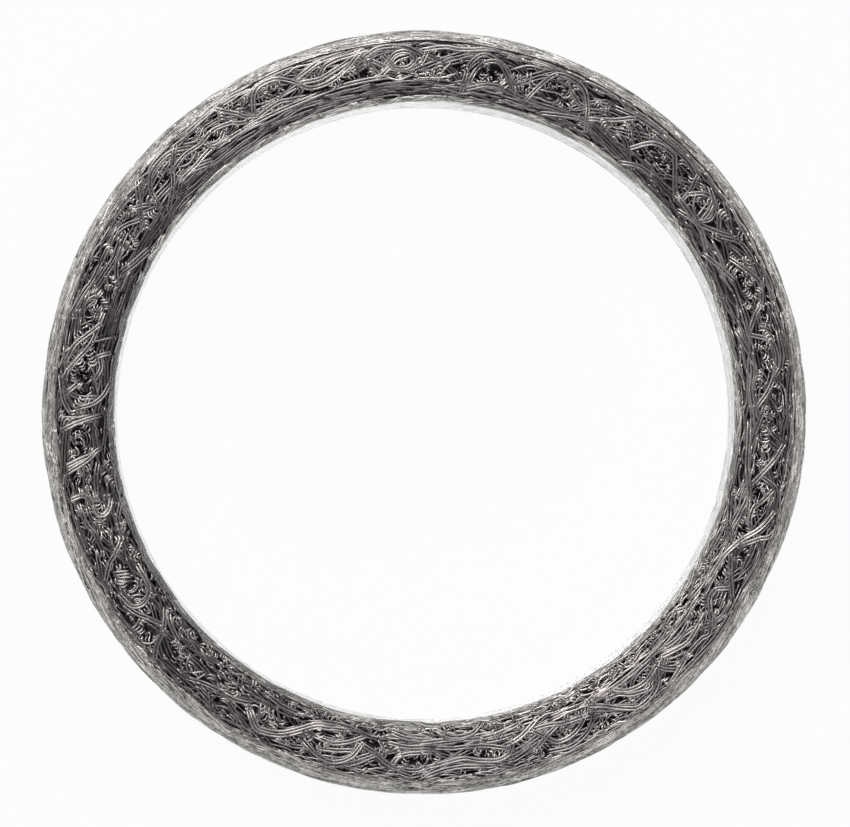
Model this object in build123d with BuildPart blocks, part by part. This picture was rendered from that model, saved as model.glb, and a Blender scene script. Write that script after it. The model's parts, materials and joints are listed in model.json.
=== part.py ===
"""Exhaust ring gasket pressed from knitted steel wire.

One piece: a knitted wire sleeve is rolled up and squeezed in a die to a dense ring. The die leaves a
plain bore, a straight outer wall, a flat back and a rounded shoulder at the front that seats in the
flared pipe. Inside the shoulder the front face stays open, and there the wire shows as loops and as
long strands that weave round them.

Millimetres. The ring's axis is Z, the back face lies on Z = 0 and the shoulder is at the top.
"""

import os
from math import cos, pi, radians, sin

from build123d import *

# Ring
bore_diameter = 61.3
section_width = 7.35
ring_height = 14.0
bore_edge_chamfer = 0.6
back_edge_chamfer = 0.7

# Rounded shoulder. Its lip stands beside the wire face, a little below the die plane
shoulder_inset = 1.25
shoulder_length = 3.6
shoulder_lip_drop = 0.12

# Strands are pairs of wires side by side, pressed flat on top by the die. At this size their bends
# are drawn as short straight facets: so many round a loop's end, and two where a weaving strand
# turns back
wire_diameter = 0.27
strand_foot_width = 3.0 * wire_diameter
strand_crown_width = 1.0 * wire_diameter
strand_height = 0.5
root_depth = 0.1
loop_end_facets = 4
weave_tip_share = 0.3

# Single wires that cross a loop from side to side, as shares of the loop's half length: where they
# stand, and how far each of them leans
leg_foot_width = 1.6 * wire_diameter
leg_crown_width = 0.8 * wire_diameter
leg_places = (-0.35, 0.25)
leg_lean = 0.16

# A weaving strand passes a loop this share of the way from the loop to the edge of the face. The
# strands along the two edges dip between the loops by this share of half the face's width
weave_place = 0.3
rim_strand_dip = 0.34

# How far each kind of strand stays below the die plane
top_weave_drop = 0.0
loop_drop = 0.06
under_weave_drop = 0.12
rim_strand_drop = 0.18
leg_drop = 0.2

# Loops on the front face, going round anticlockwise from +X: the bearing in degrees, how far the
# middle stands from the middle of the face, the half length in degrees and the half width. Offsets
# and half widths are shares of half the face's width. Their number is even, so that a strand that
# passes them on alternate sides closes on itself.
front_loops = [
    (9.5, 0.10, 3.0, 0.36),
    (23.5, 0.08, 3.1, 0.40),
    (36.6, 0.10, 2.6, 0.38),
    (47.0, 0.06, 3.4, 0.46),
    (57.0, 0.14, 2.6, 0.30),
    (66.8, 0.12, 4.2, 0.50),
    (79.0, 0.08, 4.2, 0.50),
    (93.7, 0.24, 3.1, 0.38),
    (104.8, 0.26, 2.9, 0.30),
    (116.0, 0.20, 3.2, 0.38),
    (127.5, 0.08, 2.6, 0.30),
    (138.5, 0.12, 3.8, 0.46),
    (151.0, 0.22, 3.0, 0.32),
    (163.0, 0.08, 3.0, 0.40),
    (174.5, 0.02, 3.4, 0.50),
    (185.5, 0.06, 2.6, 0.42),
    (197.5, -0.10, 2.4, 0.38),
    (211.0, -0.08, 3.6, 0.46),
    (227.5, 0.10, 2.8, 0.34),
    (242.5, 0.02, 2.6, 0.32),
    (255.5, 0.18, 3.2, 0.40),
    (268.6, 0.14, 3.5, 0.36),
    (282.0, 0.10, 2.8, 0.32),
    (294.5, 0.18, 3.3, 0.34),
    (308.0, 0.04, 2.9, 0.32),
    (318.0, 0.16, 2.5, 0.30),
    (327.0, 0.22, 2.6, 0.34),
    (335.8, 0.26, 2.8, 0.36),
    (345.2, 0.20, 3.0, 0.36),
    (356.8, 0.08, 3.2, 0.42),
]

# Sizes that follow from those above
bore_radius = bore_diameter / 2
outer_radius = bore_radius + section_width
face_start = bore_radius + bore_edge_chamfer
shoulder_start = outer_radius - shoulder_inset
shoulder_end_level = ring_height - shoulder_length
lip_level = ring_height - shoulder_lip_drop
face_level = ring_height - strand_height
face_middle = (face_start + shoulder_start) / 2
face_reach = (shoulder_start - face_start) / 2
rim_strand_inner_radius = face_start + strand_foot_width / 2
rim_strand_outer_radius = shoulder_start - strand_foot_width / 2


def polar(radius, bearing):
    """The point on Z = 0 at this radius and bearing."""
    return Vector(radius * cos(radians(bearing)), radius * sin(radians(bearing)))


def heading(bearing):
    """The direction round the ring, anticlockwise, at this bearing."""
    return Vector(-sin(radians(bearing)), cos(radians(bearing)))


def long_loop(radius, bearing, half_length, half_width):
    """The corners of a loop that lies along the ring: two straight sides and two half round ends."""
    middle = polar(radius, bearing)
    corners = []
    for end_shift in (half_length - half_width, half_width - half_length):
        for step in range(loop_end_facets + 1):
            angle = pi * (step / loop_end_facets - 0.5)
            outward = 1 if end_shift > 0 else -1
            along = heading(bearing) * (end_shift + outward * half_width * cos(angle))
            across = polar(outward * half_width * sin(angle), bearing)
            corners.append(middle + along + across)
    return corners


def pressed_section(foot_width, crown_width, drop):
    """The corners of a strand's section: rooted in the ring, pressed flat below the die plane."""
    root_level = face_level - root_depth
    crown_level = ring_height - drop
    return [
        (-foot_width / 2, root_level),
        (-crown_width / 2, crown_level),
        (crown_width / 2, crown_level),
        (foot_width / 2, root_level),
    ]


def leg(start, end):
    """One wire of a knitted loop that stands across the loop round it."""
    start_plane = Plane(
        origin=start,
        x_dir=Vector(0, 0, 1).cross(end - start),
        z_dir=end - start,
    )
    with BuildPart() as pressed:
        with BuildSketch(start_plane):
            with BuildLine():
                Polyline(*pressed_section(leg_foot_width, leg_crown_width, leg_drop), close=True)
            make_face()
        extrude(amount=(end - start).length)
    return pressed.part


def strand(corners, drop):
    """A pair of wires side by side along a closed line."""
    first_middle = (corners[-1] + corners[0]) / 2
    with BuildLine() as line:
        Polyline(first_middle, *corners, close=True)
    path = line.wire()
    start_plane = Plane(
        origin=path @ 0,
        x_dir=Vector(0, 0, 1).cross(path % 0),
        z_dir=path % 0,
    )
    with BuildPart() as pressed:
        with BuildSketch(start_plane):
            with BuildLine():
                Polyline(*pressed_section(strand_foot_width, strand_crown_width, drop), close=True)
            make_face()
        sweep(path=path, transition=Transition.RIGHT)
    return pressed.part


strands = []
outward_first = []
inward_first = []
inner_rim = []
outer_rim = []
next_bearings = [loop[0] for loop in front_loops[1:]] + [front_loops[0][0] + 360]
for index, (bearing, offset_share, half_length, half_width) in enumerate(front_loops):
    radius = face_middle + offset_share * face_reach
    loop_length = radius * radians(half_length)
    loop_width = half_width * face_reach
    strands.append(strand(long_loop(radius, bearing, loop_length, loop_width), loop_drop))
    lean = leg_lean * half_length * (1 if index % 2 == 0 else -1)
    for place in leg_places:
        leg_bearing = bearing + place * half_length
        leg_start = polar(radius - loop_width, leg_bearing - lean)
        leg_end = polar(radius + loop_width, leg_bearing + lean)
        strands.append(leg(leg_start, leg_end))
    outer_side = radius + loop_width
    inner_side = radius - loop_width
    outer_pass = outer_side + weave_place * (shoulder_start - outer_side)
    inner_pass = inner_side - weave_place * (inner_side - face_start)
    passes = (outer_pass, inner_pass) if index % 2 == 0 else (inner_pass, outer_pass)
    for tip in (-weave_tip_share * half_length, weave_tip_share * half_length):
        outward_first.append(polar(passes[0], bearing + tip))
        inward_first.append(polar(passes[1], bearing + tip))
    gap_bearing = (bearing + next_bearings[index]) / 2
    inner_rim.append(polar(rim_strand_inner_radius, bearing))
    inner_rim.append(polar(rim_strand_inner_radius + rim_strand_dip * face_reach, gap_bearing))
    outer_rim.append(polar(rim_strand_outer_radius, bearing))
    outer_rim.append(polar(rim_strand_outer_radius - rim_strand_dip * face_reach, gap_bearing))
strands.append(strand(outward_first, top_weave_drop))
strands.append(strand(inward_first, under_weave_drop))
strands.append(strand(inner_rim, rim_strand_drop))
strands.append(strand(outer_rim, rim_strand_drop))

with BuildPart() as mesh_ring:
    with BuildSketch(Plane.XZ):
        with BuildLine():
            shoulder_end = (outer_radius, shoulder_end_level)
            shoulder_lip = (shoulder_start, lip_level)
            TangentArc(shoulder_end, shoulder_lip, tangent=(0, 1))
            Polyline(
                shoulder_lip,
                (shoulder_start, face_level),
                (face_start, face_level),
                (bore_radius, face_level - bore_edge_chamfer),
                (bore_radius, bore_edge_chamfer),
                (bore_radius + bore_edge_chamfer, 0),
                (outer_radius - back_edge_chamfer, 0),
                (outer_radius, back_edge_chamfer),
                shoulder_end,
            )
        make_face()
    revolve(axis=Axis.Z)
    add(strands)

mesh_ring.part.label = "mesh_ring"
os.makedirs("parts", exist_ok=True)
export_step(mesh_ring.part, "parts/mesh_ring.step")
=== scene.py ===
"""Exhaust ring gasket pressed from knitted steel wire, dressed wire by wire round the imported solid."""

import json
import math

import bpy
import numpy as np
from mathutils import Matrix, Vector


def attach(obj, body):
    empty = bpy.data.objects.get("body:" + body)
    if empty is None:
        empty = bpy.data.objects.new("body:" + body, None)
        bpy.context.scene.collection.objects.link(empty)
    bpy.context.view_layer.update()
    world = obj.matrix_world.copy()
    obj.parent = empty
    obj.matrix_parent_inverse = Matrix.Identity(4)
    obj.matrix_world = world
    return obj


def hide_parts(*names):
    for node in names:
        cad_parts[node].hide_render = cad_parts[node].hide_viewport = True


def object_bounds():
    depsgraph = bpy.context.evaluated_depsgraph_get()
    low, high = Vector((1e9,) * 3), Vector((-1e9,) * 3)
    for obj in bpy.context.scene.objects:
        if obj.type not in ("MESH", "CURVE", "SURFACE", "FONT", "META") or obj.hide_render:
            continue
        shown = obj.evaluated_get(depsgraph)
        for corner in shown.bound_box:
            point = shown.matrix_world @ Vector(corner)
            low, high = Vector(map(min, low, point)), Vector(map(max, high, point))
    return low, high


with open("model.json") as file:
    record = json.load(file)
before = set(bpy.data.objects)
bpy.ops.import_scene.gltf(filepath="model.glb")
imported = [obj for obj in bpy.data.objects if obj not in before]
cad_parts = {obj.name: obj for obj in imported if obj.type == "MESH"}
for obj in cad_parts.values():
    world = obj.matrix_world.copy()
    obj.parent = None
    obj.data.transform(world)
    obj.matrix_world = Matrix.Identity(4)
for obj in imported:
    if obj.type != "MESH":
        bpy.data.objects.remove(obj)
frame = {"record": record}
cad_low, cad_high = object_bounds()

# The pressed core
# Knitted steel wire squeezed in a die until it is nearly solid. What shows of it is the pack in the gaps
# between the wires, its top painted dark as the shade there. It is one turned ring that lies just under the
# outer wires.
MM = 0.001
mounts = {mount["name"]: mount for mount in frame["record"]["mounts"]}
bore_radius = mounts["pipe_bore"]["dims"]["r_mm"]
outer_radius = mounts["outer_wall"]["dims"]["r_mm"]
ring_height = (cad_high[2] - cad_low[2]) / MM
lip_inset = 1.45
lip_drop = 0.12
shoulder_length = 3.6
edge_round = 0.6
bevel_width = 0.6
bevel_drop = 0.6
bevel_start_drop = 0.45
bevel_land = 0.1
core_face_depth = 1.6
core_rim_depth = 0.8
core_wall_depth = 0.3
core_foot_level = 0.4
core_steps = 240


def material_graph(name):
    """A new material with an empty node tree, and its output node."""
    material = bpy.data.materials.new(name)
    material.use_nodes = True
    material.node_tree.nodes.clear()
    output = material.node_tree.nodes.new("ShaderNodeOutputMaterial")
    return material, output


class Signal:
    """A node's output socket, or a plain number, that Python's operators turn into Math nodes."""

    def __init__(self, tree, socket):
        self.tree = tree
        self.socket = socket

    def node(self, kind, settings=None, output=0, **values):
        """Adds a node of this kind to the tree. Settings come first, then its values and links."""
        made = self.tree.nodes.new(kind)
        for key, value in (settings or {}).items():
            setattr(made, key, value)
        for key, value in values.items():
            socket = made.inputs[int(key[1:])] if key[1:].isdigit() else made.inputs[key]
            if isinstance(value, Signal):
                self.tree.links.new(value.socket, socket)
            else:
                socket.default_value = value
        return Signal(self.tree, made.outputs[output])

    def math(self, operation, first, second):
        """Adds a Math node that works this out."""
        return self.node("ShaderNodeMath", {"operation": operation}, i0=first, i1=second)

    def __add__(self, other):
        return self.math("ADD", self, other)

    def __radd__(self, other):
        return self.math("ADD", other, self)

    def __sub__(self, other):
        return self.math("SUBTRACT", self, other)

    def __rsub__(self, other):
        return self.math("SUBTRACT", other, self)

    def __mul__(self, other):
        return self.math("MULTIPLY", self, other)

    def __rmul__(self, other):
        return self.math("MULTIPLY", other, self)

    def between(self, low, high):
        """0 below low, 1 above high, and smooth between them."""
        return self.node(
            "ShaderNodeMapRange",
            {"interpolation_type": "SMOOTHSTEP"},
            i0=self, i1=low, i2=high, i3=0.0, i4=1.0,
        )

    def colours(self, first, second):
        """A colour between these two, by this value."""
        return self.node(
            "ShaderNodeMix", {"data_type": "RGBA"}, output=2,
            i0=self, i6=(*first, 1.0), i7=(*second, 1.0),
        )


def steel(name, dark, light, metallic, roughness, grain, speckle=0.25):
    """Drawn steel wire: its grey runs from dark to light with the wire's tone, which carries painted shade
    and painted highlight, and with sooty mottling.
    """
    material, output = material_graph(name)
    tree = material.node_tree
    maker = Signal(tree, None)
    place = maker.node("ShaderNodeTexCoord", output=3)
    tone = maker.node("ShaderNodeAttribute", {"attribute_name": "tone"}, output=2)
    soot_and_side_shade = maker.node("ShaderNodeTexNoise", Vector=place, Scale=420.0, Detail=4.0, Roughness=0.6)
    specks = maker.node("ShaderNodeTexNoise", Vector=place, Scale=2600.0, Detail=3.0, Roughness=0.7)
    soot_and_shade_share = 0.55 + soot_and_side_shade.between(0.35, 0.68) * 0.55
    level = tone * soot_and_shade_share + (specks - 0.5) * speckle + 0.05
    shader = tree.nodes.new("ShaderNodeBsdfPrincipled")
    shader.inputs["Metallic"].default_value = metallic
    tree.links.new(level.colours(dark, light).socket, shader.inputs["Base Color"])
    rough = roughness + (specks - 0.5) * 0.25
    tree.links.new(rough.socket, shader.inputs["Roughness"])
    bump = maker.node("ShaderNodeBump", Strength=0.35, Distance=grain * MM, Height=specks)
    tree.links.new(bump.socket, shader.inputs["Normal"])
    tree.links.new(shader.outputs[0], output.inputs["Surface"])
    return material


def back_round(radius, side):
    """Points of the rounded edge from a wall to the back face, in mm. The face lies to this side."""
    return [
        (radius + side * edge_round * (1 - math.cos(a)), edge_round * (1 - math.sin(a)))
        for a in np.linspace(0, math.pi / 2, 6)
    ]


def shoulder_profile(count):
    """Points of the wall from the crease over the shoulder and down to the back edge, in mm."""
    lip_level = ring_height - lip_drop
    end_level = ring_height - shoulder_length
    drop = lip_level - end_level
    arc_radius = (lip_inset**2 + drop**2) / (2 * lip_inset)
    sweep = math.asin(drop / arc_radius)
    arc = [
        (outer_radius - arc_radius * (1 - math.cos(a)), end_level + arc_radius * math.sin(a))
        for a in np.linspace(sweep, 0, count)
    ]
    return [*arc, *back_round(outer_radius, -1)]


def bore_profile():
    """Points of the wall from the front face over the bore's edge and down to the back, in mm."""
    start_level = ring_height - bevel_start_drop
    bevel = [
        (bore_radius + bevel_width * (1 - math.sin(a)), start_level - bevel_drop * (1 - math.cos(a)))
        for a in np.linspace(0, math.pi / 2, 10)
    ]
    return [(bore_radius + bevel_width + bevel_land, start_level), *bevel, *back_round(bore_radius, 1)]


def sunk_corners(profile, depth, top_depth):
    """The corners of a wall's profile, moved under its wires: into the ring by depth, in mm."""
    top = ring_height - top_depth
    return [(r + depth, min(max(z, core_foot_level), top)) for r, z in profile]


# The core's rim beside the shoulder stands higher than its face
outer_side = sunk_corners(shoulder_profile(8), -core_wall_depth, core_rim_depth)
inner_side = sunk_corners(bore_profile()[1:], core_wall_depth, core_face_depth)
rim_foot = (outer_side[0][0], ring_height - core_face_depth)
section = [rim_foot, *outer_side, *inner_side[::-1]]
core_mesh = bpy.data.meshes.new("ring_core")
core_mesh.from_pydata(
    [(r * MM, 0, z * MM) for r, z in section],
    [(i, (i + 1) % len(section)) for i in range(len(section))],
    [],
)
core = bpy.data.objects.new("ring_core", core_mesh)
bpy.context.collection.objects.link(core)
bpy.ops.object.select_all(action="DESELECT")
bpy.context.view_layer.objects.active = core
core.select_set(True)
bpy.ops.object.mode_set(mode="EDIT")
bpy.ops.mesh.select_all(action="SELECT")
bpy.ops.mesh.spin(steps=core_steps, angle=2 * math.pi, center=(0, 0, 0), axis=(0, 0, 1))
bpy.ops.mesh.select_all(action="SELECT")
bpy.ops.mesh.remove_doubles(threshold=0.01 * MM)
bpy.ops.mesh.normals_make_consistent(inside=False)
bpy.ops.object.mode_set(mode="OBJECT")
rim_level = (ring_height - (core_rim_depth + core_face_depth) / 2) * MM
# Painted shade: the core's top, seen only through the gaps between wires, is painted darkest, and its walls
# lighter.
core_gap_shade = [0.0 if vertex.co.z > rim_level else 0.8 for vertex in core.data.vertices]
core.data.attributes.new("tone", "FLOAT", "POINT").data.foreach_set("value", core_gap_shade)
core.data.materials.append(
    steel("pressed_core", (0.02, 0.018, 0.018), (0.24, 0.222, 0.22), 0.6, 0.6, 0.05)
)
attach(core, "root")
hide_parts("mesh_ring")

# The open wire face
# Loops of the knitted sleeve that the die has folded over and pressed together: a bed of wire that
# runs round the ring, short legs of loops that stand in the gaps, and long pairs that arch over them.
wire_radius = 0.128
seen_wire_radius = 0.145
wire_pitch = 0.32
pair_pitch = 0.29
strand_pitch = 0.33
sample_step = 0.1
face_reference = 34.2
face_inner = 31.1
face_outer = 36.5
face_knee = 0.9
nearness = 0.9955
random = np.random.default_rng(20)


def smooth_line(points):
    """A smooth line through points in mm (round the ring, across the wall), sampled finely."""
    corners = np.array(points, float)
    corners = np.vstack([2 * corners[0] - corners[1], corners, 2 * corners[-1] - corners[-2]])
    stretches = []
    for before, start, end, after in zip(corners, corners[1:], corners[2:], corners[3:]):
        count = max(2, int(np.hypot(*(end - start)) / sample_step))
        t = np.linspace(0, 1, count, endpoint=False)[:, None]
        stretches.append(
            0.5 * (2 * start + (end - before) * t
                   + (2 * before - 5 * start + 4 * end - after) * t**2
                   + (3 * start - before - 3 * end + after) * t**3)
        )
    return np.vstack([*stretches, corners[-2][None]])


def beside(line, gap):
    """The line moved sideways by gap."""
    along = np.gradient(line, axis=0)
    along /= np.maximum(np.hypot(along[:, 0], along[:, 1]), 1e-6)[:, None]
    return line + gap * np.column_stack([-along[:, 1], along[:, 0]])


def wander(count, reach, wave):
    """A slow random drift of about this reach over count samples."""
    t = np.arange(count) * sample_step
    drift = np.zeros(count)
    for octave in (1.0, 0.55, 0.3):
        length = wave * octave * random.uniform(0.8, 1.25)
        drift += octave * np.sin(2 * math.pi * t / length + random.uniform(0, 2 * math.pi))
    return reach * drift / 1.3


def buried(line, run):
    """The line, carried on straight at both ends by run."""
    steps = np.arange(1, int(run / sample_step) + 1)[:, None] * sample_step
    first = line[0] - line[3]
    last = line[-1] - line[-4]
    return np.vstack([
        (line[0] + steps * first / np.hypot(*first))[::-1], line,
        line[-1] + steps * last / np.hypot(*last),
    ])


def dive(count, depth, run):
    """How far a wire that ends in the pack sinks towards its two ends."""
    t = np.arange(count) * sample_step
    ends = np.minimum(t, t[::-1])
    return -depth * np.clip(1 - ends / run, 0, 1) ** 2


class Layup:
    """Wires laid one after another on a wall, each over those that it crosses."""

    def __init__(self, reference, low, high):
        self.reference = reference
        self.low = low
        self.cell = 0.08
        self.columns = int(round(2 * math.pi * reference / self.cell))
        self.rows = int((high - low) / self.cell) + 3
        self.ground = np.zeros((self.columns, self.rows))
        self.wires = []

    def lay(self, line, radius=wire_radius, sink=0.0, tone=0.5, flat=1.0, stiff=0.35, node=0.35):
        """Drops a wire onto what lies there already, and keeps it as stiff as it is."""
        column = np.floor(line[:, 0] / self.cell).astype(int)
        row = np.clip(((line[:, 1] - self.low) / self.cell).astype(int), 1, self.rows - 2)
        under = self.ground[column % self.columns, row]
        for dc, dr in ((1, 0), (-1, 0), (0, 1), (0, -1)):
            under = np.maximum(under, self.ground[(column + dc) % self.columns, row + dr])
        height = under + radius * flat
        reach = int(stiff / sample_step * 2)
        lifted = height.copy()
        for shift in range(1, reach + 1):
            fall = (shift * sample_step) ** 2 * 0.45 / stiff
            lifted[shift:] = np.maximum(lifted[shift:], height[:-shift] - fall)
            lifted[:-shift] = np.maximum(lifted[:-shift], height[shift:] - fall)
        padded = np.pad(lifted, 2, mode="edge")
        lifted = np.convolve(padded, np.ones(5) / 5, mode="valid") + sink
        span = int(radius / self.cell)
        for dc in range(-span, span + 1):
            for dr in range(-span, span + 1):
                off = math.hypot(dc, dr) * self.cell
                if off <= radius:
                    top = lifted + flat * math.sqrt(radius**2 - off**2)
                    np.maximum.at(
                        self.ground,
                        ((column + dc) % self.columns, np.clip(row + dr, 0, self.rows - 1)),
                        top,
                    )
        self.wires.append((line, lifted, radius, tone, flat, node))

    def press(self, top, knee):
        """The die comes down: what stands above the knee is squeezed in under the top. Wires that
        lie nearly all under others are left out."""
        highest = max(lifted.max() + radius * flat for _, lifted, radius, _, flat, _ in self.wires)
        pressed = []
        for line, lifted, radius, tone, flat, node in self.wires:
            column = np.floor(line[:, 0] / self.cell).astype(int) % self.columns
            row = np.clip(((line[:, 1] - self.low) / self.cell).astype(int), 0, self.rows - 1)
            cover = self.ground[column, row] - lifted - radius * flat
            if np.mean(cover < 0.1) < 0.06:
                continue
            over = np.maximum(lifted - knee, 0) / max(highest - knee, 1e-6)
            room = top - radius * flat - knee
            share = 1 - (1 - np.minimum(over, 1)) ** 1.6
            squeezed = np.where(lifted > knee, knee + room * share, lifted)
            pressed.append((line, squeezed, radius, tone, flat, node))
        return pressed


def wall(points):
    """A wall's length down its section, and a function from the distance down it to the radius, the
    height and the outward normal."""
    corners = np.array(points, float)
    steps = np.hypot(*np.diff(corners, axis=0).T)
    down = np.concatenate([[0], np.cumsum(steps)])
    fine = np.linspace(0, down[-1], 200)
    radius = np.interp(fine, down, corners[:, 0])
    level = np.interp(fine, down, corners[:, 1])
    slope_r = np.gradient(radius, fine)
    slope_z = np.gradient(level, fine)
    smooth = np.hanning(9)
    smooth /= smooth.sum()
    slope_r = np.convolve(np.pad(slope_r, 4, mode="edge"), smooth, mode="valid")
    slope_z = np.convolve(np.pad(slope_z, 4, mode="edge"), smooth, mode="valid")
    size = np.hypot(slope_r, slope_z)
    return down[-1], lambda v: (
        np.interp(v, fine, radius), np.interp(v, fine, level),
        np.interp(v, fine, -slope_z / size), np.interp(v, fine, slope_r / size),
    )


def wire_piece(name, wires, reference, surface, sides, material, soot_and_side_shade=0.7, top=None):
    """One mesh of round wires. The surface gives radius, height and outward normal for each point.
    Their sides are painted darker by this share and their crests lighter, as painted shade and highlight.
    Under a top, wires are painted the darker the deeper they lie, as painted shade of the pack."""
    points, tones, quads, caps = [], [], [], []
    base = 0
    angles = math.pi / 2 + 2 * math.pi * np.arange(sides) / sides
    # Painted shade and highlight: each tube's sides get a darker tone and its crest a lighter one.
    painted_crest_light = 1 - soot_and_side_shade + soot_and_side_shade * np.clip(np.sin(angles), 0, 1)
    for line, lifted, radius, tone, flat, node in wires:
        count = max(3, int(round(len(line) * sample_step / node)) + 1)
        pick = np.unique(np.round(np.linspace(0, len(line) - 1, count)).astype(int))
        bearing = line[pick, 0] / reference
        r, z, normal_r, normal_z = surface(line[pick, 1])
        cos_b, sin_b = np.cos(bearing), np.sin(bearing)
        normal = np.column_stack([normal_r * cos_b, normal_r * sin_b, normal_z])
        centre = np.column_stack([r * cos_b, r * sin_b, z]) + normal * lifted[pick, None]
        tangent = np.gradient(centre, axis=0)
        tangent /= np.linalg.norm(tangent, axis=1)[:, None]
        side = np.cross(normal, tangent)
        side /= np.maximum(np.linalg.norm(side, axis=1), 1e-6)[:, None]
        up = np.cross(tangent, side)
        ring = (centre[:, None, :]
                + radius * np.cos(angles)[None, :, None] * side[:, None, :]
                + radius * flat * np.sin(angles)[None, :, None] * up[:, None, :])
        n = len(pick)
        points.append(ring.reshape(-1, 3))
        # Painted shade: the deeper a wire lies under the top, the darker its tone.
        depth_shade = np.ones(n) if top is None else 0.48 + 0.52 * np.clip(lifted[pick] / top, 0, 1) ** 1.5
        tones.append(np.outer(tone * depth_shade, painted_crest_light).ravel())
        index = base + np.arange(n * sides).reshape(n, sides)
        after = np.roll(index, -1, axis=1)
        quads.append(np.stack([index[:-1], after[:-1], after[1:], index[1:]], axis=-1).reshape(-1, 4))
        caps.append(index[0, ::-1])
        caps.append(index[-1])
        base += n * sides
    points = np.vstack(points) * MM
    quads = np.vstack(quads)
    caps = np.vstack(caps)
    mesh = bpy.data.meshes.new(name)
    mesh.vertices.add(len(points))
    mesh.vertices.foreach_set("co", points.ravel())
    loops = np.concatenate([quads.ravel(), caps.ravel()])
    sizes = np.concatenate([np.full(len(quads), 4), np.full(len(caps), sides)])
    mesh.loops.add(len(loops))
    mesh.loops.foreach_set("vertex_index", loops)
    mesh.polygons.add(len(sizes))
    mesh.polygons.foreach_set("loop_start", np.concatenate([[0], np.cumsum(sizes)[:-1]]))
    mesh.polygons.foreach_set("use_smooth", np.ones(len(sizes), bool))
    mesh.update(calc_edges=True)
    mesh.validate()
    mesh.attributes.new("tone", "FLOAT", "POINT").data.foreach_set("value", np.concatenate(tones))
    mesh.materials.append(material)
    piece = bpy.data.objects.new(name, mesh)
    bpy.context.collection.objects.link(piece)
    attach(piece, "root")
    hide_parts("mesh_ring")


def flat_face(level, facing):
    """The surface of an end face: across is the radius."""
    return lambda v: (v, np.full(len(v), level), np.zeros(len(v)), np.full(len(v), facing))


def round_the_ring(bearing, across):
    """A place on the face, from a bearing in degrees and a radius in mm as the front view shows it.
    The face is nearer to the eye than the outline that sets the scale there, so it shows larger."""
    return (math.radians(bearing) * face_reference, across * nearness)


def band(layup, low, high, pitch, length, reach, wave, tone, node, arc=None, **more):
    """Wires side by side that run round the wall between low and high, each as long as it comes.
    They fill the whole turn, or the arc between two bearings in degrees."""
    first, last = (0, 360) if arc is None else arc
    whole = math.radians(last - first) * layup.reference
    for row in np.arange(low + pitch / 2, high, pitch):
        start = math.radians(first) * layup.reference
        if arc is None:
            start += random.uniform(0, whole)
        covered = 0.0
        while covered < whole:
            span = random.uniform(*length)
            count = int(span / sample_step)
            along = start + covered + np.arange(count) * sample_step
            across = row + random.normal(0, pitch / 4) + wander(count, reach, wave)
            line = np.column_stack([along, np.clip(across, low, high)])
            layup.lay(line, tone=random.uniform(*tone), node=node, **more)
            covered += span * 0.97


# Loops that show on the face, read from the front view: bearing in degrees, radius of the middle,
# half length and half width in mm
loops_seen = [
    (9.5, 34.3, 1.8, 1.1), (23.5, 34.3, 1.8, 1.1), (36.6, 34.4, 1.4, 1.1), (47.0, 34.3, 2.4, 1.4),
    (57.0, 34.5, 1.4, 0.9), (66.3, 34.5, 3.1, 1.6), (79.0, 34.4, 2.8, 1.6), (93.7, 35.1, 1.8, 1.0),
    (104.5, 35.2, 1.6, 0.8), (116.0, 35.1, 1.9, 1.1), (128.0, 34.4, 1.5, 0.9),
    (138.5, 34.5, 2.4, 1.4), (150.0, 34.7, 1.6, 0.9), (163.0, 34.4, 1.6, 1.1),
    (174.5, 34.2, 1.9, 1.6), (184.5, 34.2, 1.3, 1.2), (197.0, 33.7, 1.2, 1.0),
    (211.0, 33.7, 2.0, 1.4), (227.5, 34.3, 1.5, 0.9), (243.0, 34.0, 1.4, 0.9),
    (255.5, 34.6, 1.9, 1.1), (268.6, 34.5, 2.1, 1.0), (282.0, 34.4, 1.5, 0.9),
    (294.0, 34.6, 1.9, 0.9), (308.5, 34.3, 1.8, 1.1), (317.5, 34.7, 1.2, 0.8),
    (327.0, 34.8, 1.6, 1.0), (335.5, 34.9, 2.0, 1.0), (344.5, 34.7, 2.0, 1.1),
    (356.5, 34.3, 1.9, 1.2),
]

face = Layup(face_reference, face_inner - 0.2, face_outer + 0.2)
band(face, face_inner, face_outer, 0.25, (20, 60), 0.18, 9.0, (0.2, 0.5), 0.9)


def kept_on_face(line):
    """The line, kept between the face's two edges."""
    return np.column_stack([line[:, 0], np.clip(line[:, 1], face_inner, face_outer)])


def directions(lean):
    """The directions along a stroke that leans by so many degrees, and across it."""
    angle = math.radians(lean)
    along = np.array([math.cos(angle), math.sin(angle)])
    return along, np.array([-along[1], along[0]])


def comb(centre, lean, strokes, half, pitch, tone):
    """Short legs of loops side by side, each a hoop that comes up out of the pack and dives back.
    The strokes lean by so many degrees, and half is half their length."""
    along, across = directions(lean)
    bow = random.uniform(-0.3, 0.3)
    for stroke in range(strokes):
        middle = centre + across * pitch * (stroke - (strokes - 1) / 2) + random.normal(0, 0.05, 2)
        reach = half * random.uniform(0.75, 1.2)
        line = smooth_line([middle - along * reach, middle + across * bow, middle + along * reach])
        face.lay(kept_on_face(line), sink=dive(len(line), 0.45, reach), tone=random.uniform(*tone),
                 node=0.2, stiff=0.2)


def combs_along(arc, step, shift, across, lean, strokes, half, pitch, tone):
    """Combs at even steps between two bearings in degrees, each moved round the ring by up to the
    shift. Across, lean, strokes, half and tone are ranges that they are drawn from."""
    first, last = np.radians(arc) * face_reference
    for place in np.arange(first, last, step):
        if shift:
            place += random.uniform(-shift, shift)
        centre = np.array([place, random.uniform(*across)])
        comb(centre, random.uniform(*lean), int(random.integers(*strokes)), random.uniform(*half),
             pitch, tone)


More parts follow.
